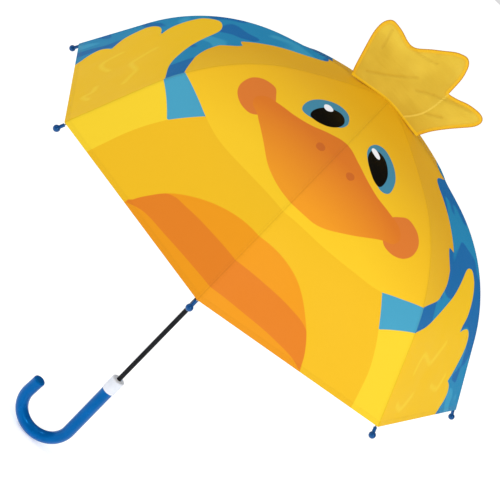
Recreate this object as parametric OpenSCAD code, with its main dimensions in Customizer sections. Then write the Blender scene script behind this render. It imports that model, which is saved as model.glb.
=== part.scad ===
// Child's dome umbrella with an animal-face canopy and a crest.
// Units are millimetres. +Z runs up the shaft, -Y is the front, +X is to the right seen from the front.
// The origin is the middle of the straight grip, on the shaft's axis.

/* [Canopy and ribs] */
// Height of the rim plane above the middle of the grip
rim_z = 380; // [300:1:480]
// Height of the canopy's top above the rim plane
dome_h = 232; // [180:1:280]
// Slope of the canopy at its top, in degrees below level
slope_top = 9; // [4:0.5:14]
// Radius of the shallow inner arc of each rib line
inner_arc_r = 1000; // [700:10:1400]
// Slope where the inner arc meets the outer arc
slope_shoulder = 18; // [14:0.5:24]
// Radius of the outer arc of each rib line
outer_arc_r = 256; // [200:2:320]
// Slope of the straight skirt of the canopy
slope_skirt = 59; // [50:0.5:66]
// Length of the straight skirt along a rib
skirt_len = 99; // [70:1:130]
// Thickness of the canopy's solid
cloth_t = 1; // [0.8:0.1:2]
// How far the hem rises between two ribs
hem_rise = 0; // [0:0.5:16]
// Slope of the rib line at the stretcher's pivot
slope_pivot = 26; // [22:0.5:34]
// Width of a rib's channel
rib_w = 2.7; // [2.4:0.1:3.4]
// Depth of a rib's channel
rib_h = 2.6; // [2.2:0.1:3.2]
// Thickness of a rib's sheet
rib_t = 0.6; // [0.4:0.1:0.8]
// Depth of a rib's middle below the cloth's middle
rib_drop = 2.9; // [2.6:0.1:3.5]
// Radius of the pivot circles in the top notch and the runner
ring_r = 9; // [8:0.5:12]

/* [Shaft and runner] */
// Outer diameter of the shaft's tube
shaft_d = 7; // [6:0.1:10]
// Wall of the shaft's tube
shaft_wall = 0.5; // [0.4:0.1:1]
// Length of the runner's sleeve below its flange
sleeve_len = 24; // [16:1:40]
// Outer radius of the runner's sleeve
sleeve_r = 7.5; // [6.8:0.1:9]
// Outer radius of the runner's and the notch's flange
flange_r = 11; // [10.5:0.5:14]

/* [Handle] */
// Diameter of the handle's tube
grip_d = 18.4; // [14:0.2:26]
// Length of the straight grip below the collar
grip_len = 90; // [70:1:130]
// Radius of the hook along its middle
hook_r = 40.5; // [32:0.5:55]
// Angle that the hook turns through
hook_turn = 184; // [150:1:190]
// Straight length at the hook's end
hook_end = 24; // [4:1:40]
// Diameter of the white collar
collar_d = 20; // [18.6:0.2:26]
// Length of the white collar
collar_len = 23; // [15:1:35]

/* [Crest] */
// Thickness of the crest's two layers
crest_t = 2.5; // [1.5:0.5:5]
// Distance of the crest's middle in front of the shaft's axis
crest_y = 13; // [12:0.5:20]

/* [Hidden] */
RIBS = 8;
$fn = 48;

gap = 0.05;                 // radial clearance between pieces that do not move
run_gap = 0.08;             // radial clearance of a pivot or the runner
pin_r = 0.8;                // stretcher pivot pin
wire_r = 0.5;               // wire rings
eye_r = 1.8;                // eyes and ears at the stretcher pivot
ring_eye_r = 1.7;           // eyes on the wire rings
tongue_t = 1.2;             // thickness of an eye's tongue
tongue_len = 7;             // bare tongue beside a wire ring
fork_in = 1.5;              // inner face of a stretcher's ears, from its middle
fork_out = 2.1;             // outer face of a stretcher's ears
fork_len = 12;              // length of a stretcher's fork
fork_slot = 8;              // depth of a stretcher's fork
half_gore = 180 / RIBS;
azimuth_cos = cos(half_gore);

// rib line as two arcs and a straight skirt, measured from the rim plane
c1 = [-inner_arc_r * sin(slope_top), dome_h - inner_arc_r * cos(slope_top)];
p1 = c1 + inner_arc_r * [sin(slope_shoulder), cos(slope_shoulder)];
c2 = p1 - outer_arc_r * [sin(slope_shoulder), cos(slope_shoulder)];
p2 = c2 + outer_arc_r * [sin(slope_skirt), cos(slope_skirt)];
p3 = p2 + skirt_len * [cos(slope_skirt), -sin(slope_skirt)];

r1 = inner_arc_r - rib_drop;
r2 = outer_arc_r - rib_drop;
slope_a = asin((ring_r - c1[0]) / r1);
pt_a = [ring_r, c1[1] + r1 * cos(slope_a)];
pt_b = c2 + r2 * [sin(slope_pivot), cos(slope_pivot)];
pt_c = [ring_r, 2 * pt_b[1] - pt_a[1]];
link_len = norm(pt_b - pt_a);
link_slope = asin((pt_a[1] - pt_b[1]) / link_len);
skirt_start = p2 - rib_drop * [sin(slope_skirt), cos(slope_skirt)];

shaft_r = shaft_d / 2;
shaft_top = 234;            // end of the tube inside the ferrule, above the rim plane
tube_bottom = -grip_len / 2 + 20;
grip_top = grip_len / 2;
catch_az = half_gore;       // direction of the two spring catches
catch_t = 1.2;
catch_h = 14;
catch_out = 6.1;            // how far a catch stands out from the axis
catch_in = 0.4;             // how far it reaches past the axis
top_catch_z = pt_c[1] - sleeve_len - 4.5;
closed_c = pt_a[1] - 2 * link_len * cos(4.5);
bottom_catch_z = closed_c - 6;
cap_len = 15;               // rib tip beyond the hem
ball_r = 4.25;
stem_r = 2.1;

// a point on the cloth's middle at slope s, in the rib's plane
function cloth_pt(s) = s <= slope_shoulder
    ? c1 + inner_arc_r * [sin(s), cos(s)]
    : c2 + outer_arc_r * [sin(s), cos(s)];
// the same point in the middle plane of a gore
function gore_pt(s) = [cloth_pt(s)[0] * azimuth_cos, cloth_pt(s)[1]];
function gore_slope(s) = atan(tan(s) / azimuth_cos);
function gore_off(s, d) = gore_pt(s) + d * [sin(gore_slope(s)), cos(gore_slope(s))];

module at_rib(i) {
    translate([0, 0, rim_z]) rotate([0, 0, (i - 1) * 360 / RIBS - 90]) children();
}

module channel_2d(w, h, t, web) {
    difference() {
        translate([-h / 2, -w / 2]) square([h, w]);
        translate([-h / 2 - 1, -w / 2 + t]) square([web ? h - t + 1 : h + 2, w - 2 * t]);
    }
}

// sweeps a section along an arc of the rib line between two slopes
module along_arc(c, r, s0, s1) {
    translate([c[0], 0, c[1]]) rotate([90, 0, 0]) rotate([0, 0, 90 - s1])
        rotate_extrude(angle = s1 - s0, $fn = 96) translate([r, 0]) children();
}

module cross_pin(p, r, w) {
    translate([p[0], 0, p[1]]) rotate([90, 0, 0]) cylinder(r = r, h = w, center = true, $fn = 32);
}

module tongue_2d() {
    translate([-rib_h / 2, -tongue_t / 2]) square([rib_h, tongue_t]);
}

module rib_inner(i) {
    bare_a = tongue_len / r1 * 180 / PI;
    bare_b = 5 / r2 * 180 / PI;
    color("silver") at_rib(i) difference() {
        union() {
            along_arc(c1, r1, slope_a + bare_a, slope_shoulder) channel_2d(rib_w, rib_h, rib_t, true);
            along_arc(c2, r2, slope_shoulder, slope_pivot - bare_b) channel_2d(rib_w, rib_h, rib_t, true);
            along_arc(c1, r1, slope_a, slope_a + 2 * bare_a) tongue_2d();
            along_arc(c2, r2, slope_pivot - 2.5 * bare_b, slope_pivot) tongue_2d();
            cross_pin(pt_a, ring_eye_r, tongue_t);
            cross_pin(pt_b, eye_r, tongue_t);
        }
        cross_pin(pt_a, wire_r + run_gap, rib_w);
        cross_pin(pt_b, pin_r + run_gap, rib_w);
    }
}

module rib_outer(i) {
    bare = 5 / r2 * 180 / PI;
    rod_r = 0.9;
    slot_w = rib_w - 2 * rib_t - 0.1;
    color("silver") at_rib(i) difference() {
        union() {
            along_arc(c2, r2, slope_pivot, slope_skirt) channel_2d(rib_w, rib_h, rib_t, true);
            difference() {
                cross_pin(pt_b, eye_r, rib_w);
                cross_pin(pt_b, eye_r + 1, rib_w - 2 * rib_t);
            }
            translate([skirt_start[0], 0, skirt_start[1]]) rotate([0, slope_skirt, 0]) {
                rotate([90, 0, 90]) linear_extrude(skirt_len - 5)
                    rotate(90) channel_2d(rib_w, rib_h, rib_t, true);
                translate([skirt_len - 8, 0, 0]) rotate([0, 90, 0])
                    cylinder(r = rod_r, h = 16, $fn = 24);
                translate([skirt_len - 8, -0.8, 0]) cube([3, 1.6, rib_h / 2]);
            }
        }
        // the channel's back is open beside the pivot, where the inner length folds in
        along_arc(c2, r2, slope_pivot - 1, slope_pivot + bare)
            translate([0, -slot_w / 2]) square([rib_h, slot_w]);
        cross_pin(pt_b, pin_r + run_gap, 2 * rib_w);
    }
}

module rib_tip(i) {
    color("royalblue") at_rib(i) translate([skirt_start[0], 0, skirt_start[1]])
        rotate([0, slope_skirt, 0]) translate([skirt_len, 0, 0]) rotate([0, 90, 0]) difference() {
            union() {
                translate([0, 0, 1]) cylinder(r = stem_r, h = cap_len - ball_r - 1, $fn = 32);
                translate([0, 0, cap_len - ball_r]) sphere(r = ball_r, $fn = 40);
            }
            translate([0, 0, -5]) cylinder(r = 0.9 + gap, h = 14, $fn = 24);
        }
}

module stretcher(i) {
    color("silver") at_rib(i) translate([pt_b[0], 0, pt_b[1]]) rotate([0, -link_slope, 0])
        difference() {
            union() {
                // bar, from the runner's end towards the fork
                translate([-link_len + tongue_len, 0, 0]) rotate([90, 0, 90])
                    linear_extrude(link_len - tongue_len - fork_slot)
                    rotate(90) channel_2d(rib_w, rib_h - 0.2, rib_t, true);
                translate([-link_len, -tongue_t / 2, -rib_h / 2 + 0.1])
                    cube([2 * tongue_len, tongue_t, rib_h - 0.2]);
                translate([-link_len, 0, 0]) rotate([90, 0, 0])
                    cylinder(r = ring_eye_r, h = tongue_t, center = true, $fn = 32);
                // fork and pin
                translate([-fork_len, -fork_out, -rib_h / 2])
                    cube([fork_len - fork_slot, 2 * fork_out, rib_h]);
                for (side = [-1, 1]) {
                    translate([-fork_len, side * (fork_in + fork_out) / 2 - (fork_out - fork_in) / 2,
                        -rib_h / 2]) cube([fork_len, fork_out - fork_in, rib_h]);
                    translate([0, side * (fork_in + fork_out) / 2, 0]) rotate([90, 0, 0])
                        cylinder(r = eye_r, h = fork_out - fork_in, center = true, $fn = 32);
                }
                rotate([90, 0, 0]) cylinder(r = pin_r, h = 2 * fork_out, center = true, $fn = 32);
            }
            translate([-link_len, 0, 0]) rotate([90, 0, 0])
                cylinder(r = wire_r + run_gap, h = rib_w, center = true, $fn = 32);
        }
}

// flange with a slot for each rib or stretcher and a groove for the wire ring
module slotted_flange(z_lo, z_hi) {
    difference() {
        translate([0, 0, z_lo]) cylinder(r = flange_r, h = z_hi - z_lo);
        for (i = [1 : RIBS]) rotate([0, 0, (i - 1) * 360 / RIBS - 90])
            translate([sleeve_r - 0.9, -0.8, z_lo - 1]) cube([flange_r, 1.6, z_hi - z_lo + 2]);
        rotate_extrude() translate([ring_r, 0]) circle(r = wire_r + gap, $fn = 24);
    }
}

module wire_ring(z) {
    color("silver") translate([0, 0, rim_z + z]) rotate_extrude()
        translate([ring_r, 0]) circle(r = wire_r, $fn = 24);
}

module top_notch() {
    color("white") translate([0, 0, rim_z + pt_a[1]]) difference() {
        union() {
            slotted_flange(-3, 1.2);
            translate([0, 0, -16]) cylinder(r = 6, h = 14);
            translate([0, 0, -16]) cylinder(r = 6.6, h = 17.2);
        }
        translate([0, 0, -17]) cylinder(r = shaft_r + gap, h = 20);
    }
}

module notch_wire() {
    wire_ring(pt_a[1]);
}

module runner() {
    color("white") translate([0, 0, rim_z + pt_c[1]]) difference() {
        union() {
            slotted_flange(-4, 3);
            translate([0, 0, -4]) cylinder(r = 6.6, h = 7);
            translate([0, 0, -4 - sleeve_len]) cylinder(r = sleeve_r, h = sleeve_len);
            translate([0, 0, -4 - sleeve_len]) cylinder(r = 10, h = 3);
        }
        translate([0, 0, -5 - sleeve_len]) cylinder(r = shaft_r + run_gap, h = sleeve_len + 10);
        rotate([0, 0, catch_az - 90]) translate([0, -0.9, -5 - sleeve_len])
            cube([catch_out + 0.4, 1.8, sleeve_len + 10]);
    }
}

module runner_wire() {
    wire_ring(pt_c[1]);
}

module shaft_tube() {
    color("gainsboro") difference() {
        translate([0, 0, tube_bottom]) cylinder(r = shaft_r, h = rim_z + shaft_top - tube_bottom);
        translate([0, 0, tube_bottom - 1])
            cylinder(r = shaft_r - shaft_wall, h = rim_z + shaft_top - tube_bottom + 2);
        for (z = [top_catch_z, bottom_catch_z]) translate([0, 0, rim_z + z])
            rotate([0, 0, catch_az - 90]) translate([0, -catch_t / 2 - 0.1, -catch_h - 0.2])
                cube([shaft_d, catch_t + 0.2, catch_h + 0.4]);
    }
}

// a leaf with a square shoulder at its top and a ramp below it
module spring_catch(z) {
    color("silver") translate([0, 0, rim_z + z]) rotate([0, 0, catch_az - 90]) rotate([90, 0, 0])
        linear_extrude(catch_t, center = true)
        polygon([[-catch_in, -catch_h], [shaft_r - 0.4, -catch_h], [catch_out, -3],
            [catch_out, 0], [-catch_in, 0]]);
}

module top_catch() {
    spring_catch(top_catch_z);
}

module bottom_catch() {
    spring_catch(bottom_catch_z);
}

module handle() {
    end_round = 2.5;
    tip_r = grip_d / 2 - 0.05;
    color("dodgerblue") difference() {
        union() {
            translate([0, 0, -grip_len / 2]) cylinder(d = grip_d, h = grip_len);
            // a core across the two joins makes the grip and the bend one solid
            translate([0, 0, -grip_len / 2 - 1]) cylinder(d = grip_d - 1, h = 3);
            translate([-hook_r, 0, -grip_len / 2]) rotate([90, 0, 0]) {
                rotate([0, 0, -hook_turn]) rotate_extrude(angle = hook_turn, $fn = 96)
                    translate([hook_r, 0]) circle(d = grip_d);
                // the tip starts a little inside the bend, so that the two join
                rotate([0, 0, -hook_turn]) translate([hook_r, 0, 0]) rotate([90, 0, 0])
                    translate([0, 0, -1]) rotate_extrude() {
                        square([tip_r - end_round, hook_end + 1]);
                        square([tip_r, hook_end + 1 - end_round]);
                        translate([tip_r - end_round, hook_end + 1 - end_round])
                            intersection() {
                                circle(r = end_round, $fn = 24);
                                square(2 * end_round);
                            }
                    }
            }
        }
        translate([0, 0, tube_bottom - 1]) cylinder(r = shaft_r + gap, h = grip_len);
    }
}

module handle_collar() {
    color("white") translate([0, 0, grip_top]) difference() {
        union() {
            cylinder(d = collar_d, h = collar_len - 1);
            translate([0, 0, collar_len - 1]) cylinder(d1 = collar_d, d2 = collar_d - 2, h = 1);
        }
        translate([0, 0, -1]) cylinder(r = shaft_r + gap, h = collar_len + 2);
    }
}

module ferrule() {
    base_z = dome_h - 0.7;
    color("dodgerblue") translate([0, 0, rim_z + base_z]) difference() {
        union() {
            cylinder(r1 = 10, r2 = 5.5, h = 4);
            cylinder(r = 4, h = 19);
            translate([0, 0, 19]) sphere(r = 4);
        }
        translate([0, 0, -1]) cylinder(r = shaft_r + gap, h = shaft_top - base_z + 1.3);
    }
}

// upright cloth crest with three lobes, double layer
module crest() {
    color("gold") translate([0, -crest_y, rim_z]) rotate([90, 0, 0])
        linear_extrude(crest_t, center = true) polygon([
            [-57, 222], [-61, 232], [-68, 257], [-73, 277], [-74, 290], [-72, 299], [-67, 305],
            [-60, 306], [-48, 304], [-36, 300], [-28, 299], [-20, 302], [-8, 312], [4, 321], [16, 330],
            [25, 334], [32, 335], [38, 331], [42, 323], [45, 310], [46, 288], [58, 291], [72, 296],
            [86, 298], [94, 297], [98, 294], [99, 289], [96, 281], [87, 270], [75, 256], [63, 240],
            [54, 223], [30, 228], [10, 232], [-10, 232], [-30, 228]]);
}

// half of a petal of the canopy, from the gore's middle to the rib, between listed slopes
module half_petal(side, slopes, tail) {
    t = cloth_t / 2;
    n = len(slopes);
    far = tail ? [p3[0] * azimuth_cos, p3[1]] : gore_pt(slopes[n - 1]);
    far_s = gore_slope(slopes[n - 1]);
    edge = far + (tail ? 20 : 0) * [cos(far_s), -sin(far_s)];
    outer = [for (s = slopes) gore_off(s, t), edge + t * [sin(far_s), cos(far_s)]];
    inner = [for (i = [n - 1 : -1 : 0]) gore_off(slopes[i], -t)];
    back = edge - t * [sin(far_s), cos(far_s)];
    ring = tail ? concat(outer, [back], inner)
        : concat([for (s = slopes) gore_off(s, t)], inner);
    half_w = p3[0] * sin(half_gore) + 12;
    rotate([0, 0, side * half_gore]) difference() {
        rotate([90, 0, 0]) linear_extrude(2 * half_w, center = true) polygon(ring);
        // beyond the gore's middle and beyond the rib
        translate([-1, side > 0 ? 0 : -half_w - 1, -40]) cube([400, half_w + 1, 300]);
        rotate([0, 0, -side * half_gore])
            translate([-1, side > 0 ? -half_w * 2 : 0, -40]) cube([500, half_w * 2, 300]);
        // the hem, lower at the rib than at the gore's middle
        if (tail) translate([0, 0, p3[1] + hem_rise])
            rotate([side * atan(hem_rise / (p3[0] * sin(half_gore))), 0, 0])
                translate([-1, -300, -60]) cube([500, 600, 60]);
    }
}

module petal(i, slopes, tail) {
    at_rib(i) for (side = [-1, 1]) half_petal(side, slopes, tail);
}

module canopy_inner(i) {
    color("gold") petal(i, [9.75, 12, 15, 18, 20, 22, 24, slope_pivot - 0.1], false);
}

module canopy_outer(i) {
    color("orange") petal(i, [slope_pivot + 0.1, 30, 35, 40, 45, 50, 55, slope_skirt], true);
}

// closing strap, lying on the cloth beside the back rib
module tie_strap() {
    strap_w = 16;
    strap_len = 88;
    skirt_gore = gore_slope(slope_skirt);
    at = gore_off(slope_skirt, cloth_t / 2 + 0.2);
    color("gold") at_rib(5) rotate([0, 0, half_gore]) translate([at[0], 0, at[1]])
        rotate([0, skirt_gore, 0]) translate([2, -strap_w - 80, 0]) cube([strap_len, strap_w, 1]);
}

shaft_tube();
handle();
handle_collar();
top_notch();
notch_wire();
ferrule();
crest();
top_catch();
bottom_catch();
runner();
runner_wire();
tie_strap();
rib_inner(1);  // rib_inner_1
rib_inner(2);  // rib_inner_2
rib_inner(3);  // rib_inner_3
rib_inner(4);  // rib_inner_4
rib_inner(5);  // rib_inner_5
rib_inner(6);  // rib_inner_6
rib_inner(7);  // rib_inner_7
rib_inner(8);  // rib_inner_8
rib_outer(1);  // rib_outer_1
rib_outer(2);  // rib_outer_2
rib_outer(3);  // rib_outer_3
rib_outer(4);  // rib_outer_4
rib_outer(5);  // rib_outer_5
rib_outer(6);  // rib_outer_6
rib_outer(7);  // rib_outer_7
rib_outer(8);  // rib_outer_8
rib_tip(1);  // rib_tip_1
rib_tip(2);  // rib_tip_2
rib_tip(3);  // rib_tip_3
rib_tip(4);  // rib_tip_4
rib_tip(5);  // rib_tip_5
rib_tip(6);  // rib_tip_6
rib_tip(7);  // rib_tip_7
rib_tip(8);  // rib_tip_8
stretcher(1);  // stretcher_1
stretcher(2);  // stretcher_2
stretcher(3);  // stretcher_3
stretcher(4);  // stretcher_4
stretcher(5);  // stretcher_5
stretcher(6);  // stretcher_6
stretcher(7);  // stretcher_7
stretcher(8);  // stretcher_8
canopy_inner(1);  // canopy_inner_1
canopy_inner(2);  // canopy_inner_2
canopy_inner(3);  // canopy_inner_3
canopy_inner(4);  // canopy_inner_4
canopy_inner(5);  // canopy_inner_5
canopy_inner(6);  // canopy_inner_6
canopy_inner(7);  // canopy_inner_7
canopy_inner(8);  // canopy_inner_8
canopy_outer(1);  // canopy_outer_1
canopy_outer(2);  // canopy_outer_2
canopy_outer(3);  // canopy_outer_3
canopy_outer(4);  // canopy_outer_4
canopy_outer(5);  // canopy_outer_5
canopy_outer(6);  // canopy_outer_6
canopy_outer(7);  // canopy_outer_7
canopy_outer(8);  // canopy_outer_8
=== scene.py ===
import math

import bmesh
import bpy
import numpy as np
from mathutils import Matrix, Vector


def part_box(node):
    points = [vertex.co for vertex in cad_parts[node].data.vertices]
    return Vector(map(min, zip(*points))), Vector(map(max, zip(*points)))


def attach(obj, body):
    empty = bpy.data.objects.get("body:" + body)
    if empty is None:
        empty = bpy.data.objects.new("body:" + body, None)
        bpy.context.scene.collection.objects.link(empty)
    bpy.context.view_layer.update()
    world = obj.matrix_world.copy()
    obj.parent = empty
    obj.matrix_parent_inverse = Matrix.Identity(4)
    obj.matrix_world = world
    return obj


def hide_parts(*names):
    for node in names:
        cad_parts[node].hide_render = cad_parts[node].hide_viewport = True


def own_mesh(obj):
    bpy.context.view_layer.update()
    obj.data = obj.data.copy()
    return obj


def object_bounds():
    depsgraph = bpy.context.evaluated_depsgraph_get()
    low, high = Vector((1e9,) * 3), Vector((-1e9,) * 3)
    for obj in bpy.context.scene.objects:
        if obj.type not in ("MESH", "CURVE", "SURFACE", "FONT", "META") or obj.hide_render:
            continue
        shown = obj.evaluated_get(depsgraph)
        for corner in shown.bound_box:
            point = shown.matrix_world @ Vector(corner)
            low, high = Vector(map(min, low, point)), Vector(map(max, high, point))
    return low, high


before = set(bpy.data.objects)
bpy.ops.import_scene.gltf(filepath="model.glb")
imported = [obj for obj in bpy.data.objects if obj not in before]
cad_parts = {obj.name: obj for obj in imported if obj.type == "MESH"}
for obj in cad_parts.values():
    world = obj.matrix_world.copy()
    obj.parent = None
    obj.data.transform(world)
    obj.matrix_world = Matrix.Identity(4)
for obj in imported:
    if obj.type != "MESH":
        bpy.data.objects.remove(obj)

cad_low, cad_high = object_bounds()

MM = 0.001
RIBS = 8
GORE = 2 * math.pi / RIBS
HALF_GORE = GORE / 2

# ---------------------------------------------------------------- the rib line
# The same two arcs and straight skirt as the CAD cloth's middle, in millimetres above the rim plane.
DOME_H = 232
SLOPE_TOP = math.radians(9)
INNER_ARC_R = 1000
SLOPE_SHOULDER = math.radians(18)
OUTER_ARC_R = 256
SLOPE_SKIRT = math.radians(59)
SKIRT_LEN = 99
SLOPE_PIVOT = math.radians(26)

inner_len = INNER_ARC_R * (SLOPE_SHOULDER - SLOPE_TOP)
outer_len = OUTER_ARC_R * (SLOPE_SKIRT - SLOPE_SHOULDER)
rib_len = inner_len + outer_len + SKIRT_LEN
pivot_u = inner_len + OUTER_ARC_R * (SLOPE_PIVOT - SLOPE_SHOULDER)
inner_centre = np.array([-INNER_ARC_R * math.sin(SLOPE_TOP), DOME_H - INNER_ARC_R * math.cos(SLOPE_TOP)])
shoulder = np.array([math.sin(SLOPE_SHOULDER), math.cos(SLOPE_SHOULDER)])
outer_centre = inner_centre + (INNER_ARC_R - OUTER_ARC_R) * shoulder
skirt_top = outer_centre + OUTER_ARC_R * np.array([math.sin(SLOPE_SKIRT), math.cos(SLOPE_SKIRT)])
rib_end = skirt_top + SKIRT_LEN * np.array([math.cos(SLOPE_SKIRT), -math.sin(SLOPE_SKIRT)])

# the hem meets a rib at the CAD cloth's lowest point
RIM_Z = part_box("canopy_outer_1")[0].z / MM - rib_end[1]

HOLLOW = 3.0                # the taut cloth draws in between two ribs
CLOTH_T = 0.3
TOP_HOLE = 9.0              # the cloth is clamped under the spike's foot
STEP_DOWN = 0.1             # millimetres down a rib, and radians round the dome, to take a slope over
STEP_ROUND = 5e-5
MERGE = 0.01                # points nearer than this are one


def rib_line(u):
    """Radius and height, above the rim plane, at a length u down a rib."""
    slope = np.where(u < inner_len, SLOPE_TOP + u / INNER_ARC_R,
                     SLOPE_SHOULDER + (u - inner_len) / OUTER_ARC_R)
    slope = np.minimum(slope, SLOPE_SKIRT)
    arc = (u < inner_len)[..., None]
    ring = np.stack([np.sin(slope), np.cos(slope)], -1)
    at = np.where(arc, inner_centre + INNER_ARC_R * ring, outer_centre + OUTER_ARC_R * ring)
    past = np.maximum(u - inner_len - outer_len, 0)
    return (at[..., 0] + past * math.cos(SLOPE_SKIRT), at[..., 1] - past * math.sin(SLOPE_SKIRT))


def on_cloth(rib, u, turn):
    """The cloth's middle at a length u and an angle turn from a rib, in the CAD's frame, in millimetres."""
    r, z = rib_line(u)
    from_middle = HALF_GORE - np.abs(turn)
    share = 1 - (from_middle / HALF_GORE) ** 2
    r = r * math.cos(HALF_GORE) / np.cos(from_middle) - HOLLOW * np.sin(np.pi * u / rib_len) * share
    azimuth = (rib - 1) * GORE + turn
    return np.stack([r * np.sin(azimuth), -r * np.cos(azimuth), RIM_Z + z], -1)


def sideways(rib):
    """The direction across a rib, level."""
    azimuth = (rib - 1) * GORE
    return np.array([math.cos(azimuth), math.sin(azimuth), 0.0])


def cloth_normal(rib, u, turn, soft=2.0):
    """Outward normals, rounded over the seam that runs along the rib."""
    side = np.where(turn < 0, -1.0, 1.0)
    safe = side * np.clip(np.abs(turn), 2 * STEP_ROUND, HALF_GORE - 2 * STEP_ROUND)
    along = on_cloth(rib, u + STEP_DOWN, safe) - on_cloth(rib, u - STEP_DOWN, safe)
    across = on_cloth(rib, u, safe + STEP_ROUND) - on_cloth(rib, u, safe - STEP_ROUND)
    normal = np.cross(along, across)
    normal /= np.linalg.norm(normal, axis=-1, keepdims=True)
    k = sideways(rib)
    mirrored = normal - 2 * (normal @ k)[..., None] * k
    radius = rib_line(u)[0]
    share = 0.5 + 0.5 * np.clip(np.abs(turn) * radius / soft, 0, 1)[..., None]
    normal = normal * share + mirrored * (1 - share)
    return normal / np.linalg.norm(normal, axis=-1, keepdims=True)


# ---------------------------------------------------------------- the print
# Outlines on the cloth laid flat, in millimetres: x to the right and y up from the top of the dome.
# A point given twice is a corner.
PRINT = {
    # wings and breast
    "body": [[
        (-227, -222), (-227, -222), (-247, -195), (-258, -170), (-262, -140), (-261, -115), (-255, -90),
        (-244, -60), (-241, -40), (-243, -20), (-250, -12), (-265, -9), (-280, -15), (-300, -30),
        (-312, -45), (-319, -65), (-319, -65), (-320, -40), (-325, -25), (-337, -17), (-350, -20),
        (-370, -35), (-380, -55), (-384, -72), (-384, -72), (-388, -65), (-400, -59), (-410, -65),
        (-419, -80), (-426, -100), (-440, -130), (-440, -130), (-470, -470), (-470, -470),
        (470, -470), (470, -470), (442, -135), (442, -135), (430, -108), (422, -85), (415, -70),
        (405, -62), (395, -65), (388, -75), (388, -75), (380, -60), (365, -42), (350, -30), (335, -28),
        (325, -35), (322, -50), (323, -70), (323, -70), (315, -60), (305, -45), (285, -30), (265, -22),
        (250, -23), (245, -30), (245, -45), (255, -70), (262, -95), (264, -120), (260, -160),
        (250, -200), (231, -231), (231, -231), (207, -281), (207, -281), (171, -262), (171, -262),
        (-163, -262), (-163, -262), (-201, -281), (-201, -281)]],
    "breast": [[
        (-201, -281), (-201, -281), (-220, -295), (-238, -312), (-253, -330), (-266, -347),
        (-285, -378), (-310, -430), (-310, -470), (-310, -470), (310, -470), (310, -470),
        (305, -420), (285, -370), (270, -342), (260, -327), (245, -308), (225, -292), (207, -281),
        (207, -281), (171, -262), (171, -262), (-163, -262), (-163, -262)]],
    # past the front ribs the cloth is drawn a darker gold: painted shade of the side gores, which turn from
    # the light
    "wing_shade": [[
        (-120, -120), (-120, -120), (-330, -330), (-330, -330), (-470, -330), (-470, -330),
        (-470, 0), (-470, 0), (-120, 0), (-120, 0)],
        [(120, -120), (120, -120), (330, -330), (330, -330), (470, -330), (470, -330),
         (470, 0), (470, 0), (120, 0), (120, 0)]],
    "belly": [[
        (-178, -400), (-172, -395), (-160, -385), (-129, -368), (-66, -353), (2, -345), (76, -350),
        (136, -368), (165, -382), (180, -395), (195, -412), (210, -470), (210, -470),
        (-200, -470), (-200, -470)]],
    "band": [[
        (-180, -378), (-131, -371), (-100, -375), (-50, -380), (0, -381), (50, -380), (100, -375),
        (140, -371), (190, -378), (210, -397), (165, -400), (120, -409), (60, -418), (0, -420),
        (-50, -419), (-100, -413), (-150, -402), (-200, -398)]],
    "head": [[
        (-208, -209), (-162, -262), (-120, -290), (-63, -304), (4, -307), (67, -305), (123, -289),
        (172, -261), (211, -208), (235, -170), (238, -150), (236, -130), (225, -113), (225, -113),
        (215, -110), (204, -104), (201, -98), (207, -91), (213, -86), (213, -86), (180, -68),
        (150, -50), (122, -28), (122, 20), (115, 75), (85, 118), (0, 135), (-80, 118), (-100, 75),
        (-98, 25), (-95, -8), (-125, -35), (-150, -50), (-175, -65), (-207, -83), (-207, -83),
        (-203, -92), (-199, -98), (-205, -105), (-225, -111), (-225, -111), (-232, -130),
        (-233, -150), (-228, -170)]],
    "patch": [[
        (-227, -222), (-227, -222), (-208, -206), (-208, -206), (-187, -234), (-163, -262),
        (-163, -262), (-201, -281), (-201, -281), (-215, -250)],
        [(231, -231), (231, -231), (220, -255), (207, -281), (207, -281), (171, -262), (171, -262),
         (192, -236), (211, -208), (211, -208)]],
    "cheek": [[
        (-130, -168), (-117, -173), (-110, -187), (-103, -205), (-104, -222), (-118, -233),
        (-135, -227), (-147, -213), (-151, -197), (-147, -180), (-140, -171)],
        [(135, -170), (122, -174), (114, -186), (106, -205), (112, -224), (125, -233), (141, -228),
         (153, -215), (157, -198), (153, -182), (145, -173)]],
    "beak": [[
        (0, -177), (-25, -187), (-50, -198), (-75, -201), (-98, -198), (-118, -196), (-128, -205),
        (-125, -218), (-113, -229), (-104, -239), (-85, -257), (-60, -278), (-40, -288), (-20, -293),
        (0, -294), (20, -295), (40, -294), (60, -286), (85, -268), (102, -252), (120, -232),
        (132, -220), (134, -206), (122, -197), (100, -200), (75, -203), (50, -199), (25, -189)]],
    "nostril": [
        [(-28, -213), (-24, -208), (-17, -209), (-15, -214), (-19, -219), (-26, -219)],
        [(23, -215), (27, -210), (33, -210), (36, -215), (32, -221), (26, -220)]],
    "eye": [[
        (-37, -125), (-24, -130), (-17, -145), (-19, -160), (-28, -172), (-40, -181), (-58, -187),
        (-72, -186), (-77, -176), (-75, -159), (-66, -142), (-52, -129)],
        [(42, -126), (28, -132), (22, -146), (24, -161), (33, -174), (45, -183), (60, -190),
         (74, -191), (83, -182), (82, -166), (75, -149), (61, -134)]],
    "pupil": [[
        (-36, -139), (-26, -142), (-21, -153), (-24, -168), (-34, -180), (-48, -186), (-60, -185),
        (-63, -174), (-58, -158), (-49, -146)],
        [(38, -141), (29, -146), (27, -158), (31, -171), (42, -182), (56, -190), (67, -190),
         (70, -180), (67, -164), (58, -150), (48, -142)]],
    "glint": [
        [(-51, -141), (-45, -144), (-44, -149), (-49, -155), (-55, -154), (-58, -148), (-56, -143)],
        [(30, -143), (37, -145), (43, -150), (42, -155), (35, -155), (27, -151), (26, -146)]],
}
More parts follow.
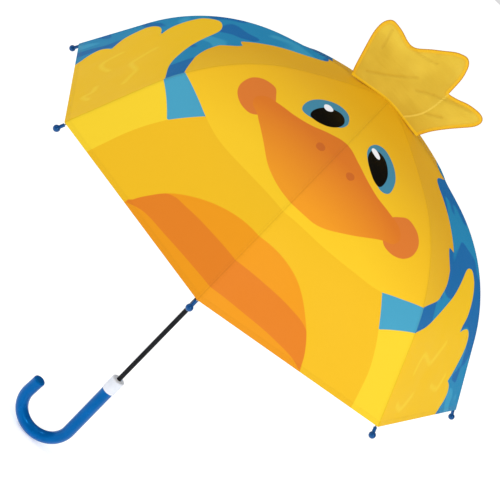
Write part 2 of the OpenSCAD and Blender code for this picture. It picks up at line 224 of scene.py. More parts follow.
# paler ripples on the wings: the middle line of each
RIPPLES = [
    [(-362, -98), (-380, -124), (-373, -146), (-355, -165)],
    [(-310, -112), (-326, -143), (-326, -158), (-304, -184), (-301, -200), (-296, -222)],
    [(-342, -218), (-336, -234), (-342, -245), (-325, -256)],
    [(322, -118), (327, -150), (325, -172), (297, -197), (306, -222)],
    [(375, -92), (386, -118), (370, -148)],
    [(344, -216), (340, -250), (321, -264)]]
RIPPLE_HALF = 4.0
FAR = 50.0                  # distance given to cloth well away from an outline
CURVE_STEPS = 6


def smooth_loop(points):
    """A closed Catmull-Rom line through the points, with corners where a point is given twice."""
    p = np.array(points, float)
    before, here, after, next_one = (np.roll(p, k, 0) for k in (1, 0, -1, -2))
    t = (np.arange(CURVE_STEPS) / CURVE_STEPS)[None, :, None]
    a, b, c, d = (q[:, None, :] for q in (before, here, after, next_one))
    line = 0.5 * (2 * b + (c - a) * t + (2 * a - 5 * b + 4 * c - d) * t ** 2
                  + (3 * b - a - 3 * c + d) * t ** 3)
    # between the two copies of a corner there is nothing to draw
    return line[(p != np.roll(p, -1, 0)).any(1)].reshape(-1, 2)


def smooth_line(points):
    """The same through the points of an open line."""
    ends = [points[0]] + list(points) + [points[-1]]
    return np.concatenate([smooth_loop(ends)[:-CURVE_STEPS], [points[-1]]])


def along_line(points, share):
    """Points along an open line at shares of its length."""
    p = smooth_line(points)
    steps = np.linalg.norm(np.diff(p, axis=0), axis=1)
    length = np.concatenate([[0], np.cumsum(steps)])
    at = share * length[-1]
    return np.stack([np.interp(at, length, p[:, 0]), np.interp(at, length, p[:, 1])], -1)


def distance_to(points, line):
    """Distance from each point to an open line."""
    nearest = np.full(len(points), 1e9)
    for s, e in zip(line[:-1], line[1:]):
        d = e - s
        t = np.clip(((points - s) @ d) / max(d @ d, 1e-9), 0, 1)
        nearest = np.minimum(nearest, np.linalg.norm(points - s - t[:, None] * d, axis=1))
    return nearest


def depth_inside(points, loop):
    """How far each point is inside a closed line, in millimetres; negative outside."""
    start, end = loop, np.roll(loop, -1, 0)
    low, high = loop.min(0) - FAR, loop.max(0) + FAR
    near = np.all((points > low) & (points < high), axis=1)
    depth = np.full(len(points), -FAR)
    if not near.any():
        return depth
    p = points[near]
    run = end - start
    length2 = np.maximum((run ** 2).sum(1), 1e-12)
    nearest = np.full(len(p), 1e12)
    inside = np.zeros(len(p), bool)
    for s, e, d, l2 in zip(start, end, run, length2):
        rel = p - s
        t = np.clip((rel @ d) / l2, 0, 1)
        gap = rel - t[:, None] * d
        nearest = np.minimum(nearest, (gap ** 2).sum(1))
        if s[1] != e[1]:
            crosses = (s[1] > p[:, 1]) != (e[1] > p[:, 1])
            inside ^= crosses & (p[:, 0] < s[0] + d[0] * (p[:, 1] - s[1]) / d[1])
    depth[near] = np.where(inside, 1, -1) * np.sqrt(nearest)
    return np.clip(depth, -FAR, FAR)


def print_depths(points):
    """Depth inside each printed colour, by name."""
    found = {}
    for name, loops in PRINT.items():
        found[name] = np.max([depth_inside(points, smooth_loop(loop)) for loop in loops], axis=0)
    found["band"] = np.minimum(found["band"], found["belly"])
    nearest = np.min([distance_to(points, smooth_line(line)) for line in RIPPLES], axis=0)
    found["ripple"] = np.clip(RIPPLE_HALF - nearest, -FAR, FAR)
    return found


# ---------------------------------------------------------------- mesh helpers
def finish_mesh(name, bm, material):
    """A piece from a finished bmesh, shaded smooth, with its object at the origin."""
    mesh = bpy.data.meshes.new(name)
    bm.to_mesh(mesh)
    bm.free()
    piece = bpy.data.objects.new(name, mesh)
    bpy.context.scene.collection.objects.link(piece)
    mesh.materials.append(material)
    for face in mesh.polygons:
        face.use_smooth = True
    return piece


def grid(columns, rows):
    """A flat sheet of columns by rows squares, from -1 to 1 each way."""
    bm = bmesh.new()
    bmesh.ops.create_grid(bm, x_segments=columns, y_segments=rows, size=1)
    return bm, np.array([v.co[:2] for v in bm.verts])


def lay(bm, points, thickness):
    """Moves a flat sheet's points to their places in millimetres, and gives the sheet its thickness."""
    number = bm.verts.layers.int.new("number")
    for i, (v, p) in enumerate(zip(bm.verts, points)):
        v.co = p * MM
        v[number] = i
    bmesh.ops.remove_doubles(bm, verts=bm.verts[:], dist=MERGE * MM)
    bmesh.ops.solidify(bm, geom=bm.faces[:], thickness=thickness * MM)


def numbers_of(mesh):
    """For each point of the thickened sheet, the number of the flat sheet's point that it came from."""
    found = np.zeros(len(mesh.vertices), np.int32)
    mesh.attributes["number"].data.foreach_get("value", found)
    mesh.attributes.remove(mesh.attributes["number"])
    return found


def give_value(mesh, name, values, kind="FLOAT"):
    """A value for each point, which the materials read by its name."""
    layer = mesh.attributes.new(name, kind, "POINT")
    values_in = "vector" if kind == "FLOAT_VECTOR" else "value"
    layer.data.foreach_set(values_in, values.astype(np.float32).ravel())


def give_map(mesh, across, along):
    """A UV map whose unit is a metre of cloth."""
    corner = np.zeros(len(mesh.loops), np.int32)
    mesh.loops.foreach_get("vertex_index", corner)
    layer = mesh.uv_layers.new(name="cloth")
    places = np.stack([across[corner], along[corner]], -1)
    layer.data.foreach_set("uv", places.astype(np.float32).ravel())


def places_of(mesh):
    """The mesh's points in millimetres."""
    place = np.zeros(len(mesh.vertices) * 3, np.float32)
    mesh.vertices.foreach_get("co", place)
    return place.reshape(-1, 3) / MM


def side_of(mesh, number, points, normals):
    """1 where a point of the thickened sheet is on the face that its normals point out of, else -1."""
    lift = ((places_of(mesh) - points[number]) * normals[number]).sum(1)
    return np.where(lift < lift.mean(), -1.0, 1.0)


def give_normals(mesh, number, normals, side):
    """Shades both faces by the sheet's own normals."""
    mesh.normals_split_custom_set_from_vertices(normals[number] * side[:, None])


# ---------------------------------------------------------------- materials
def linear(colour):
    """An sRGB hex colour as the linear values that a shader takes."""
    parts = [int(colour[i:i + 2], 16) / 255 for i in (0, 2, 4)]
    return tuple(c / 12.92 if c <= 0.04045 else ((c + 0.055) / 1.055) ** 2.4 for c in parts) + (1,)


def put(tree, kind, inputs=None, out=0, **settings):
    """Adds a node with its settings. Each input is a value, an sRGB hex colour or a socket to link.
    Gives the output that out names or numbers."""
    node = tree.nodes.new("ShaderNode" + kind)
    for name, value in settings.items():
        setattr(node, name, value)
    for name, value in (inputs or {}).items():
        if isinstance(value, bpy.types.NodeSocket):
            tree.links.new(value, node.inputs[name])
        else:
            node.inputs[name].default_value = linear(value) if isinstance(value, str) else value
    return node.outputs[out] if node.outputs else node


def new_material(name, finish, *details):
    """A material with one Principled shader, which takes the inputs that finish(tree, *details) gives."""
    material = bpy.data.materials.new(name)
    material.use_nodes = True
    tree = material.node_tree
    tree.nodes.clear()
    shader = put(tree, "BsdfPrincipled", finish(tree, *details))
    put(tree, "OutputMaterial", {"Surface": shader})
    return material


THREAD_HALF = (0.2, 0.5)    # half a sewing thread's width, to where it starts to drop and where it ends
STITCH_GAP_HALF = (0.6, 1.0)


def stitch_row(tree, from_line, middle, along, stitch):
    """A row of stitches at a distance in millimetres from a line: 1 on the thread and 0 off it."""
    away = put(tree, "Math", {0: from_line, 1: middle * MM}, operation="SUBTRACT")
    away = put(tree, "Math", {0: away}, operation="ABSOLUTE")
    full, gone = THREAD_HALF
    row = put(tree, "MapRange", {0: away, 1: full * MM, 2: gone * MM, 3: 1.0, 4: 0.0})
    dash = put(tree, "Math", {0: along, 1: stitch * MM}, operation="PINGPONG")
    start, full = STITCH_GAP_HALF
    dash = put(tree, "MapRange", {0: dash, 1: start * MM, 2: full * MM})
    return put(tree, "Math", {0: row, 1: dash}, operation="MULTIPLY")


# Scales of noise count its clouds to the metre. A wave repeats every 0.314 m divided by its scale.
WATER_RIPPLES = 11.0        # printed ripples, about 90 mm apart
DEEP_WATER = (0.56, 0.58)   # heights of that noise at which deep and pale ripples start and are full
PALE_WATER = (0.40, 0.36)
SLACK_FOLDS = 14.0          # about 70 mm apart
CANOPY_THREADS = 390.0      # 0.15 mm apart in the real cloth; drawn 0.8 mm apart, the finest that shows
CREST_TONES = 22.0          # about 45 mm apart
CREST_PUCKERS = 24.0        # about 40 mm long, and squeezed to 12 mm across the pull
RIBBON_RIBS = 260.0         # 1.2 mm apart
MOULD_FLOW = 180.0          # waviness 6 mm across
HAND_WEAR = 45.0            # rubbed patches 22 mm across
DRAWN_LINES = 900.0         # 1.1 mm apart, coarser than the real ones so that they show
PLATING_CLOUDS = 60.0       # 17 mm across

CANOPY_STITCH = 2.6
SEAM_STITCHES = 2.2         # from the middle of a seam
HEM_STITCHES = 5.5          # from the hem's edge
STRAP_STITCH = 2.4
STRAP_STITCHES = 5.6        # from the ribbon's middle

PRINT_EDGE = 0.35           # millimetres over which one printed colour runs into the next
PRINT_COLOURS = [
    ("body", "ECC828"), ("wing_shade", "EEBE14"), ("ripple", "F6D83C"), ("breast", "E6B41A"),
    ("belly", "E49212"), ("band", "DA7A1C"), ("head", "E0A816"), ("patch", "429ABA"),
    ("cheek", "D4742A"), ("beak", "D4721E"), ("nostril", "C46420"), ("eye", "3F84A0"),
    ("pupil", "0E0C0A"), ("glint", "EDEDF2")]
# colours that turn lighter down the face: into what, and from where to where on the flat cloth
GRADED = {"head": ("EDC020", -90, -270), "beak": ("E6931C", -205, -285)}


def canopy_cloth(tree):
    """Printed polyester taffeta: a fine plain weave with a soft satin shine, so the gores shade smoothly
    from rib to rib; the print is dull-edged dye, and the under face shows it paler."""
    chart = put(tree, "Attribute", out="Vector", attribute_name="chart")
    chart_y = put(tree, "SeparateXYZ", {0: chart}, 1)

    # water: sparse deep blue ripples, and a few paler ones
    water = put(tree, "TexNoise", {
        "Vector": chart, "Scale": WATER_RIPPLES, "Detail": 1.0, "Distortion": 0.7})
    deep, pale = (
        put(tree, "MapRange", {0: water, 1: start, 2: full}) for start, full in (DEEP_WATER, PALE_WATER))
    colour = put(tree, "Mix", {0: deep, 6: "1E86B4", 7: "166AA8"}, 2, data_type="RGBA")
    colour = put(tree, "Mix", {0: pale, 6: colour, 7: "3498BE"}, 2, data_type="RGBA")

    edge = PRINT_EDGE * MM
    share = {}
    for name, ink in PRINT_COLOURS:
        depth = put(tree, "Attribute", out="Fac", attribute_name="print_" + name)
        share[name] = put(tree, "MapRange", {0: depth, 1: -edge, 2: edge})
        # the darker gold past the front ribs is painted shade; it shows only on the body's yellow
        if name == "wing_shade":
            share[name] = put(tree, "Math", {0: share[name], 1: share["body"]}, operation="MULTIPLY")
        elif name == "ripple":
            faint = put(tree, "MapRange", {0: depth, 1: -1.5 * MM, 2: 3 * MM, 4: 0.45})
            share[name] = put(tree, "Math", {0: faint, 1: share["wing_shade"]}, operation="MULTIPLY")
        if name in GRADED:
            lower, start, end = GRADED[name]
            down = put(tree, "MapRange", {0: chart_y, 1: start * MM, 2: end * MM})
            ink = put(tree, "Mix", {0: down, 6: ink, 7: lower}, 2, data_type="RGBA")
        colour = put(tree, "Mix", {0: share[name], 6: colour, 7: ink}, 2, data_type="RGBA")

    under = put(tree, "Attribute", out="Fac", attribute_name="underside")
    faded = put(tree, "Mix", {0: 0.35, 6: colour, 7: "F2F0E6"}, 2, data_type="RGBA")
    colour = put(tree, "Mix", {0: under, 6: colour, 7: faded}, 2, data_type="RGBA")

    # the cloth's own measures: across from the rib's seam, along from the top, and up from the hem
    cloth = put(tree, "UVMap", uv_map="cloth")
    across = put(tree, "SeparateXYZ", {0: cloth}, 0)
    along = put(tree, "SeparateXYZ", {0: cloth}, 1)
    from_seam = put(tree, "Math", {0: across}, operation="ABSOLUTE")
    from_hem = put(tree, "Attribute", out="Fac", attribute_name="from_hem")
    groove = put(tree, "MapRange", {0: from_seam, 1: 0.3 * MM, 2: 0.9 * MM, 3: 1.0, 4: 0.0})
    fold = put(tree, "MapRange", {0: from_hem, 1: 6.2 * MM, 2: 7.2 * MM, 3: 1.0, 4: 0.0})
    # painted shade darkens the seam's groove; the hem's turned-in band is drawn a little darker as well
    for band, strength, shade in ((groove, 0.12, "7A4A10"), (fold, 0.05, "8A5A10")):
        faint = put(tree, "Math", {0: band, 1: strength}, operation="MULTIPLY")
        colour = put(tree, "Mix", {0: faint, 6: colour, 7: shade}, 2, data_type="RGBA")

    seam_row = stitch_row(tree, from_seam, SEAM_STITCHES, along, CANOPY_STITCH)
    hem_row = stitch_row(tree, from_hem, HEM_STITCHES, across, CANOPY_STITCH)
    stitches = put(tree, "Math", {0: seam_row, 1: hem_row}, operation="ADD")
    warp, weft = (
        put(tree, "TexWave", {"Vector": cloth, "Scale": CANOPY_THREADS, "Distortion": 0.4}, 1,
            bands_direction=way) for way in ("X", "Y"))
    threads = put(tree, "Math", {0: warp, 1: weft}, operation="MULTIPLY")
    slack = put(tree, "TexNoise", {"Vector": chart, "Scale": SLACK_FOLDS, "Detail": 2.0})
    height = put(tree, "Math", {0: threads, 1: 0.12}, operation="MULTIPLY")
    height = put(tree, "Math", {0: height, 1: groove}, operation="SUBTRACT")
    for relief, strength in ((stitches, 0.6), (slack, 3.0)):
        height = put(tree, "Math", {0: relief, 1: strength, 2: height}, operation="MULTIPLY_ADD")
    return {
        "Base Color": colour, "Specular IOR Level": 0.12,
        "Roughness": put(tree, "MapRange", {0: slack, 1: 0.3, 2: 0.7, 3: 0.50, 4: 0.60}),
        "Normal": put(tree, "Bump", {"Height": height, "Distance": 0.25 * MM, "Strength": 0.8})}


cloth_material = new_material("polyester_taffeta_printed", canopy_cloth)

# ---------------------------------------------------------------- canopy
SEAM_HALF = 2.6             # half the width of the lapped seam along a rib
SEAM_LIFT = 0.35
HEM_FOLD = 7.0
HEM_LIFT = 0.3
FOLD_SLOPE = 0.8            # over which a lap or a fold rises
PUCKER_PITCH = 19
PUCKER_REACH = 8
PUCKER_CLEAR = 3            # from the seam's middle to where puckers are full
PUCKER_LIFT = 0.18
PUCKER_FROM, PUCKER_FULL = 20, 50   # down from the top
FINER_BY_RIB = 1.3          # columns crowd towards the rib's seam
INNER_SQUARES = (64, 64)
OUTER_SQUARES = (112, 88)


def smooth_share(x):
    """0 up to 0 and 1 from 1 on, with an even rise between."""
    x = np.clip(x, 0, 1)
    return x * x * (3 - 2 * x)


def canopy_petal(name, rib, body, node, squares, outer):
    """Half a gore either side of one rib, cut from the dome's one smooth surface."""
    bm, at = grid(*squares)
    turn = HALF_GORE * np.sign(at[:, 0]) * np.abs(at[:, 0]) ** FINER_BY_RIB
    down = (1 - at[:, 1]) / 2
    first, last = (pivot_u, rib_len) if outer else (TOP_HOLE, pivot_u)
    u = first + down * (last - first)
    normals = cloth_normal(rib, u, turn)
    across = rib_line(u)[0] * turn
    from_seam = np.abs(across)
    lift = SEAM_LIFT * smooth_share((SEAM_HALF - from_seam) / FOLD_SLOPE)
    if outer:
        lift = np.maximum(lift, HEM_LIFT * smooth_share((HEM_FOLD - (last - u)) / FOLD_SLOPE))
    # puckers that the seam's thread draws into the cloth
    pucker = np.sin(2 * np.pi * u / PUCKER_PITCH + rib) * np.exp(-from_seam / PUCKER_REACH)
    pucker *= smooth_share(from_seam / PUCKER_CLEAR)
    pucker *= smooth_share((u - PUCKER_FROM) / (PUCKER_FULL - PUCKER_FROM))
    lift = lift + PUCKER_LIFT * pucker
    points = on_cloth(rib, u, turn) + normals * (lift + CLOTH_T / 2)[:, None]
    lay(bm, points, CLOTH_T)
    piece = finish_mesh(name, bm, cloth_material)
    mesh = piece.data
    number = numbers_of(mesh)
    side = side_of(mesh, number, points, normals)
    give_normals(mesh, number, normals, side)
    give_value(mesh, "underside", side < 0)
    azimuth = (rib - 1) * GORE + turn
    chart = np.stack([u * np.sin(azimuth), -u * np.cos(azimuth), 0 * u], -1)
    give_value(mesh, "chart", chart[number] * MM, "FLOAT_VECTOR")
    give_value(mesh, "from_hem", (rib_len - u)[number] * MM)
    for colour, depth in print_depths(chart[:, :2]).items():
        give_value(mesh, "print_" + colour, depth[number] * MM)
    give_map(mesh, across[number] * MM, u[number] * MM)
    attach(piece, body)
    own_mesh(piece)
    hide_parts(node)


for rib in range(1, RIBS + 1):
    canopy_petal("canopy_crown_%d" % rib, rib, "rib_inner_%d" % rib, "canopy_inner_%d" % rib,
                 INNER_SQUARES, False)
    canopy_petal("canopy_skirt_%d" % rib, rib, "rib_outer_%d" % rib, "canopy_outer_%d" % rib,
                 OUTER_SQUARES, True)

# ---------------------------------------------------------------- crest
RIM_TO_BASE = 222           # the crest's lowest point above the rim plane
crest_low, crest_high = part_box("crest")
CREST_Y = (crest_low.y + crest_high.y) / 2 / MM
CREST_Z = crest_low.z / MM - RIM_TO_BASE
# three rounded lobes from the left foot to the right one: x, and z above the rim plane
CREST_LINE = [
    (-57, 222), (-61, 232), (-68, 257), (-73, 277), (-74, 290), (-72, 299), (-67, 305), (-60, 306),
    (-48, 304), (-36, 300), (-28, 299), (-20, 302), (-8, 312), (4, 321), (16, 330), (25, 334),
    (32, 335), (38, 331), (42, 323), (45, 310), (46, 288), (46, 288), (58, 291), (72, 296),
    (86, 298), (94, 297), (98, 294), (99, 289), (96, 281), (87, 270), (75, 256), (63, 240), (54, 223)]
CREST_FOOT = [(-57, 222), (-30, 226), (-10, 229), (10, 229), (30, 226), (54, 223)]
CREST_SEAM = [(46, 288), (45, 276), (43, 261), (39, 248), (32, 237), (26, 230)]
CREST_CREASES = [
    [(-28, 297), (-11, 298), (10, 304)], [(-46, 238), (-22, 254), (5, 276)],
    [(14, 263), (30, 272), (42, 277), (59, 284), (80, 291)], [(-58, 296), (-52, 272)],
    [(42, 251), (60, 261)]]
# name, the line it follows, its middle's distance from that line, where it is full and where gone
# either side of its middle, its strength and its colour
CREST_BANDS = [
    ("fold", "edge", 0, 3.6, 4.8, 1.0, "E6B420"),
    ("thread", "edge", 5.2, 0, 0.7, 0.4, "D89E20"),
    # a painted shadow darkens the very edge of the outline
    ("rim", "edge", 0, 0.5, 1.5, 0.85, "B8761A"),
    ("tape", "foot", 0, 3.0, 3.8, 0.8, "F2C61C"),
    # painted shade darkens the cloth along its creases
    ("crease", "crease", 0, 0.2, 2.6, 0.25, "B08420"),
    ("seam", "seam", 0, 0.8, 1.5, 0.6, "F2D458")]
CREST_SQUARES = (150, 36)
CREST_EDGE_T = 0.7
CREST_PUFF = 1.6            # most that each layer stands off the middle
PUFF_REACH = 16             # from the edge
DRAWN_IN = 3                # how far a seam or a crease draws the puff in, either side


def crest_taffeta(tree):
    """Plain yellow taffeta in two layers: thin enough for the turned-in edge to show as a brighter band,
    with a row of thread along it and fine puckers from the thread."""
    place = put(tree, "TexCoord", out="Object")
    tone = put(tree, "TexNoise", {"Vector": place, "Scale": CREST_TONES, "Detail": 2.0})
    tone = put(tree, "MapRange", {0: tone, 1: 0.35, 2: 0.65})
    colour = put(tree, "Mix", {0: tone, 6: "D0AC32", 7: "DEBC3C"}, 2, data_type="RGBA")
    shown = {}
    for name, line, middle, full, gone, strength, dye in CREST_BANDS:
        away = put(tree, "Attribute", out="Fac", attribute_name="from_" + line)
        away = put(tree, "Math", {0: away, 1: middle * MM}, operation="SUBTRACT")
        away = put(tree, "Math", {0: away}, operation="ABSOLUTE")
        shown[name] = put(tree, "MapRange", {0: away, 1: full * MM, 2: gone * MM, 3: 1.0, 4: 0.0})
        share = put(tree, "Math", {0: shown[name], 1: strength}, operation="MULTIPLY")
        colour = put(tree, "Mix", {0: share, 6: colour, 7: dye}, 2, data_type="RGBA")
    gathers = put(tree, "Mapping", {
        "Vector": place, "Rotation": (0, math.radians(-35), 0), "Scale": (1, 1, 3.5)})
    height = put(tree, "TexNoise", {"Vector": gathers, "Scale": CREST_PUCKERS, "Detail": 2.0})
    height = put(tree, "Math", {0: height, 1: 6.0}, operation="MULTIPLY")
    for name, strength in (("fold", 1.0), ("seam", 1.0), ("crease", -2.0)):
        height = put(tree, "Math", {0: shown[name], 1: strength, 2: height}, operation="MULTIPLY_ADD")
    return {
        "Base Color": colour, "Roughness": 0.5, "Specular IOR Level": 0.12,
        "Normal": put(tree, "Bump", {"Height": height, "Distance": 0.3 * MM, "Strength": 0.8})}


def make_crest():
    """Two layers of cloth sewn together along three lobes, a little puffed between."""
    bm, at = grid(*CREST_SQUARES)
    round_it, outwards = (at[:, 0] + 1) / 2, (at[:, 1] + 1) / 2
    foot = along_line(CREST_FOOT, round_it)
    flat = foot + outwards[:, None] * (along_line(CREST_LINE, round_it) - foot)
    creases = [distance_to(flat, smooth_line(crease)) for crease in CREST_CREASES]
    distance = {
        "edge": distance_to(flat, along_line(CREST_LINE, np.linspace(0, 1, 400))),
        "seam": distance_to(flat, along_line(CREST_SEAM, np.linspace(0, 1, 24))),
        "foot": distance_to(flat, smooth_line(CREST_FOOT)),
        "crease": np.min(creases, axis=0)}
    x, z = flat[:, 0], flat[:, 1]
    puff = smooth_share(distance["edge"] / PUFF_REACH) * (0.75 + 0.25 * np.sin(x / 11 + z / 17))
    puff = CREST_EDGE_T / 2 + CREST_PUFF * puff
    for name, strength in (("seam", 0.45), ("crease", 0.22)):
        puff *= 1 - strength * np.exp(-(distance[name] / DRAWN_IN) ** 2)
    # the lobes wave gently above their foot: 1.6 mm in long waves, and 0.5 mm in short ones
    wave = 1.6 * np.sin(x / 30 + 0.6) * smooth_share((z - 235) / 60) + 0.5 * np.sin(z / 9 + x / 25)
    points = np.stack([x, CREST_Y + wave, CREST_Z + z], -1)
    lay(bm, points, CREST_EDGE_T)
    piece = finish_mesh("crest_cloth", bm, new_material("polyester_taffeta_yellow", crest_taffeta))
    mesh = piece.data
    number = numbers_of(mesh)
    behind = np.tile((0.0, 1.0, 0.0), (len(points), 1))
    side = side_of(mesh, number, points, behind)
    place = points[number] + behind[number] * (puff[number] * side)[:, None]
    mesh.vertices.foreach_set("co", (place * MM).astype(np.float32).ravel())
    mesh.update()
    for name, away in distance.items():
        give_value(mesh, "from_" + name, away[number] * MM)
    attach(piece, "shaft")
    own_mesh(piece)
    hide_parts("crest")


make_crest()

# ---------------------------------------------------------------- closing strap
STRAP_RIB = 5
STRAP_W = 16
STRAP_LEN = 88
STRAP_T = 0.9
STRAP_SQUARES = (16, 88)
STRAP_FROM_GORE = -88       # its middle, across the gore from the gore's middle
STRAP_TOP = 2               # its sewn end, below the top of the straight skirt
STRAP_CLEAR = 0.3           # between the ribbon and the cloth
STRAP_END = 0.05            # share of its width that the rounded end keeps at the very tip


def strap_ribbon(tree):
    """Yellow polyester ribbon, woven tighter than the canopy, with fine ribs across it and stitched edges."""
    cloth = put(tree, "UVMap", uv_map="cloth")
    ribs = put(tree, "TexWave", {"Vector": cloth, "Scale": RIBBON_RIBS, "Distortion": 0.3}, 1,
               bands_direction="Y")
    across = put(tree, "SeparateXYZ", {0: cloth}, 0)
    along = put(tree, "SeparateXYZ", {0: cloth}, 1)
    from_middle = put(tree, "Math", {0: across}, operation="ABSOLUTE")
    edge = put(tree, "MapRange", {0: from_middle, 1: 6.2 * MM, 2: 6.6 * MM})
    stitches = stitch_row(tree, from_middle, STRAP_STITCHES, along, STRAP_STITCH)
    colour = put(tree, "Mix", {0: ribs, 6: "D9A722", 7: "E4B42C"}, 2, data_type="RGBA")
    colour = put(tree, "Mix", {0: stitches, 6: colour, 7: "F4D468"}, 2, data_type="RGBA")
    height = put(tree, "Math", {0: stitches, 1: edge}, operation="ADD")
    height = put(tree, "Math", {0: ribs, 1: 0.3, 2: height}, operation="MULTIPLY_ADD")
    return {
        "Base Color": colour, "Roughness": 0.6, "Specular IOR Level": 0.3,
        "Normal": put(tree, "Bump", {"Height": height, "Distance": 0.3 * MM, "Strength": 0.8})}


def make_strap():
    """A ribbon lying on the cloth beside the back rib, sewn on at its top end and rounded at the other."""
    bm, at = grid(*STRAP_SQUARES)
    down = (1 - at[:, 1]) / 2 * STRAP_LEN
    straight = STRAP_LEN - STRAP_W / 2
    round_end = np.sqrt(np.clip(1 - ((down - straight) / (STRAP_W / 2)) ** 2, 0.0, 1))
    half = STRAP_W / 2 * np.where(down > straight, np.maximum(round_end, STRAP_END), 1)
    across = at[:, 0] * half
    u = inner_len + outer_len + STRAP_TOP + down
    middle_r = rib_line(u)[0] * math.cos(HALF_GORE)
    turn = HALF_GORE + np.arctan2(STRAP_FROM_GORE + across, middle_r)
    normals = cloth_normal(STRAP_RIB, u, turn, soft=0.1)
    points = on_cloth(STRAP_RIB, u, turn) + normals * (CLOTH_T / 2 + STRAP_T + STRAP_CLEAR)
    lay(bm, points, STRAP_T)
    piece = finish_mesh("closing_strap", bm, new_material("polyester_ribbon_yellow", strap_ribbon))
    mesh = piece.data
    number = numbers_of(mesh)
    give_normals(mesh, number, normals, side_of(mesh, number, points, normals))
    give_map(mesh, across[number] * MM, down[number] * MM)
    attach(piece, "rib_outer_%d" % STRAP_RIB)
    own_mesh(piece)
    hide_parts("tie_strap")


make_strap()


# ---------------------------------------------------------------- plastic and metal
def moulded(tree, colour, roughness, specular, gloss="FFFFFF"):
    """Injection-moulded plastic: a smooth skin with the faint waviness that cooling leaves, a few
    millimetres across, and a slightly uneven gloss where hands have rubbed it."""
    place = put(tree, "TexCoord", out="Object")
    flow = put(tree, "TexNoise", {"Vector": place, "Scale": MOULD_FLOW, "Detail": 2.0})
    rubbed = put(tree, "TexNoise", {"Vector": place, "Scale": HAND_WEAR, "Detail": 3.0})
    patches = put(tree, "MapRange", {0: rubbed, 1: 0.3, 2: 0.7})
    darker = tuple(c * 0.86 for c in linear(colour)[:3]) + (1,)
    return {
        "IOR": 1.49, "Specular IOR Level": specular, "Specular Tint": gloss,
        "Base Color": put(tree, "Mix", {0: patches, 6: darker, 7: colour}, 2, data_type="RGBA"),
        "Roughness": put(tree, "MapRange", {
            0: rubbed, 1: 0.3, 2: 0.7, 3: roughness * 0.8, 4: roughness * 1.3}),
        "Normal": put(tree, "Bump", {"Height": flow, "Distance": 0.05 * MM, "Strength": 0.5})}


def drawn_steel(tree, colour, roughness, along):
    """Drawn or rolled steel: fine lines along its length stretch the highlight, and plating leaves
    soft clouds."""
    place = put(tree, "TexCoord", out="Object")
    stretched = put(tree, "Mapping", {"Vector": place, "Scale": along})
    lines = put(tree, "TexNoise", {"Vector": stretched, "Scale": DRAWN_LINES, "Detail": 3.0})
    clouds = put(tree, "TexNoise", {"Vector": place, "Scale": PLATING_CLOUDS, "Detail": 3.0})
    clouds = put(tree, "MapRange", {0: clouds, 1: 0.35, 2: 0.65})
    darker = tuple(c * 0.7 for c in linear(colour)[:3]) + (1,)
    return {
        "Metallic": 1.0,
        "Base Color": put(tree, "Mix", {0: clouds, 6: darker, 7: colour}, 2, data_type="RGBA"),
        "Roughness": put(tree, "MapRange", {
            0: lines, 1: 0.3, 2: 0.7, 3: roughness * 0.7, 4: roughness * 1.4}),
        "Normal": put(tree, "Bump", {"Height": lines, "Distance": 0.01 * MM, "Strength": 0.4})}


blue_plastic = new_material("polypropylene_blue_moulded", moulded, "0058A2", 0.22, 1.0, "28A8FF")
tip_plastic = new_material("nylon_blue_moulded", moulded, "164680", 0.24, 0.9, "6CB8FF")
white_plastic = new_material("polypropylene_white_moulded", moulded, "E4EAF6", 0.3, 0.2)
# the shaft's tube is drawn as near-black polished steel
shaft_steel = new_material("steel_tube_dark_polished", drawn_steel, "26272A", 0.16, (1, 1, 0.03))
rib_steel = new_material("steel_strip_zinc_plated", drawn_steel, "A8AAAD", 0.34, (1, 1, 1))
spring_steel = new_material("spring_steel_polished", drawn_steel, "8C8E92", 0.24, (1, 1, 0.1))


def finish_nodes(material, *nodes):
    """Gives CAD nodes their material."""
    for node in nodes:
        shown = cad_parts[node].data.materials
        shown.clear()
        shown.append(material)


finish_nodes(blue_plastic, "handle", "ferrule")
finish_nodes(white_plastic, "handle_collar", "top_notch", "runner")
finish_nodes(shaft_steel, "shaft_tube")
finish_nodes(spring_steel, "notch_wire", "runner_wire", "top_catch", "bottom_catch")
for rib in range(1, RIBS + 1):
    finish_nodes(tip_plastic, "rib_tip_%d" % rib)
    finish_nodes(rib_steel, "rib_inner_%d" % rib, "rib_outer_%d" % rib, "stretcher_%d" % rib)

# ---------------------------------------------------------------- camera
# in front of the middle of the rim plane and a little above it, rolled so that the shaft lies on a slant
CAMERA_DISTANCE = 1.5465    # metres
ELEVATION = math.radians(17.7)
YAW = math.radians(-0.07)
ROLL = math.radians(44.2)
LENS = 85.0
SHIFT = (-0.0358, -0.0474)

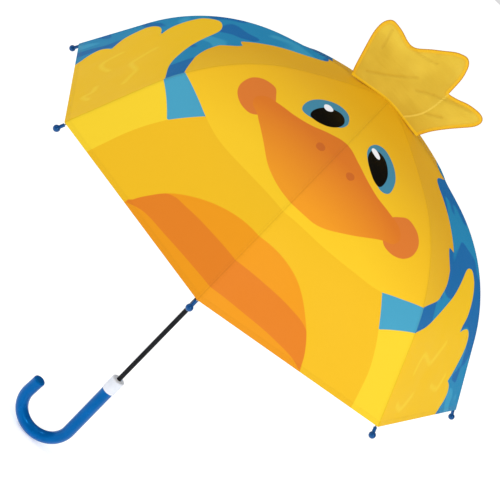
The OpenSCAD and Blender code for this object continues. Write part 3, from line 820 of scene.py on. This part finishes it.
rim_middle = Vector((0, 0, RIM_Z * MM))
right = Vector((math.cos(YAW), math.sin(YAW), 0))
back = Vector((math.sin(YAW) * math.cos(ELEVATION), -math.cos(YAW) * math.cos(ELEVATION),
               math.sin(ELEVATION)))
up = back.cross(right)
camera = bpy.data.objects.new("camera", bpy.data.cameras.new("camera"))
bpy.context.scene.collection.objects.link(camera)
camera_x = math.cos(ROLL) * right + math.sin(ROLL) * up
camera_y = -math.sin(ROLL) * right + math.cos(ROLL) * up
turned = Matrix((camera_x, camera_y, back)).transposed().to_4x4()
camera.matrix_world = Matrix.Translation(rim_middle + CAMERA_DISTANCE * back) @ turned
camera.data.lens = LENS
camera.data.shift_x, camera.data.shift_y = SHIFT
bpy.context.scene.camera = camera

# ---------------------------------------------------------------- floor and light
FLOOR_HALF = 20             # metres
FLOOR_GLOW = 0.37
ROOM_LIGHT = 0.71
# name, place and side in metres, and power in watts; the two small ones draw the lines of light on the crook
SOFTBOXES = [
    ("key", (1.6, -2.6, 1.0), 1.2, 14),
    ("left", (-1.8, -0.4, 1.9), 0.4, 8),
    ("right", (1.1, -1.7, 1.7), 0.4, 11)]


def opal_acrylic(tree):
    """A light table's sheet: dull and lit a little from below, so that it stays plain white."""
    return {"Base Color": "FAFAFA", "Roughness": 0.9, "Specular IOR Level": 0.0,
            "Emission Color": "FFFFFF", "Emission Strength": FLOOR_GLOW}


bm = bmesh.new()
bmesh.ops.create_grid(bm, x_segments=8, y_segments=8, size=FLOOR_HALF)
bmesh.ops.translate(bm, verts=bm.verts, vec=(0, 0, cad_low.z))
finish_mesh("floor", bm, new_material("opal_acrylic_sheet", opal_acrylic))

world = bpy.data.worlds.new("studio")
bpy.context.scene.world = world
world.use_nodes = True
world.node_tree.nodes["Background"].inputs[0].default_value = (1, 1, 1, 1)
world.node_tree.nodes["Background"].inputs[1].default_value = ROOM_LIGHT
# the room lights the object but doesn't mirror in it, which keeps the colours deep
world.cycles_visibility.glossy = False
bpy.context.scene.view_settings.view_transform = "Standard"

for name, place, side, power in SOFTBOXES:
    light = bpy.data.lights.new(name, "AREA")
    light.shape, light.size, light.energy = "SQUARE", side, power
    lamp = bpy.data.objects.new(name, light)
    bpy.context.scene.collection.objects.link(lamp)
    aim = rim_middle - Vector(place)
    lamp.matrix_world = Matrix.Translation(place) @ aim.to_track_quat("-Z", "Y").to_matrix().to_4x4()
